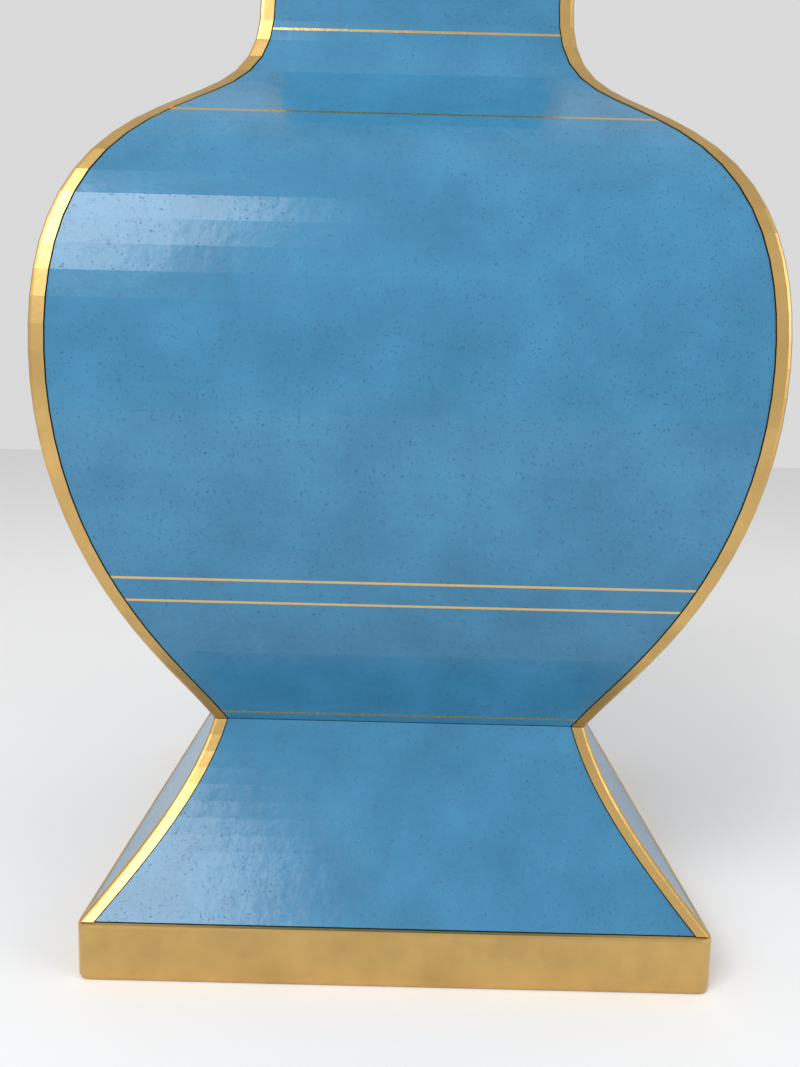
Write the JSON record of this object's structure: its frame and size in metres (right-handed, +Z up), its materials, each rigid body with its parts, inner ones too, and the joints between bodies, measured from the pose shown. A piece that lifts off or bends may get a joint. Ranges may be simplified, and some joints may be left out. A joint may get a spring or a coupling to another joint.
{
  "type": "square cloisonne baluster vase",
  "caption": "Square baluster vase in turquoise cloisonne enamel on copper, with a flared skirt foot, pinched waist, full belly, narrow neck and gilt rims and corner beads.",
  "frame": {"origin": "on the table under the middle of the foot", "axes": "+Z up the vase's axis, -Y out of the front face, +X to the right"},
  "size_m": [0.2248, 0.2248, 0.4103],
  "materials": {
    "gilt": "brushed gilt",
    "copper": "hammered copper",
    "enamel": "polished enamel"
  },
  "bodies": {
    "root": {"foot_rim": "gilt", "mouth_rim": "gilt", "base_plate": "copper", "waist_collar": "copper", "waist_floor": "copper", "foot_plate_front": "copper", "foot_enamel_front": "enamel", "foot_corner_front_right": "gilt", "foot_plate_right": "copper", "foot_enamel_right": "enamel", "foot_corner_right_back": "gilt", "foot_plate_back": "copper", "foot_enamel_back": "enamel", "foot_corner_back_left": "gilt", "foot_plate_left": "copper", "foot_enamel_left": "enamel", "foot_corner_left_front": "gilt", "body_plate_front": "copper", "body_enamel_front": "enamel", "body_corner_front_right": "gilt", "body_plate_right": "copper", "body_enamel_right": "enamel", "body_corner_right_back": "gilt", "body_plate_back": "copper", "body_enamel_back": "enamel", "body_corner_back_left": "gilt", "body_plate_left": "copper", "body_enamel_left": "enamel", "body_corner_left_front": "gilt"}
  },
  "joints": []
}
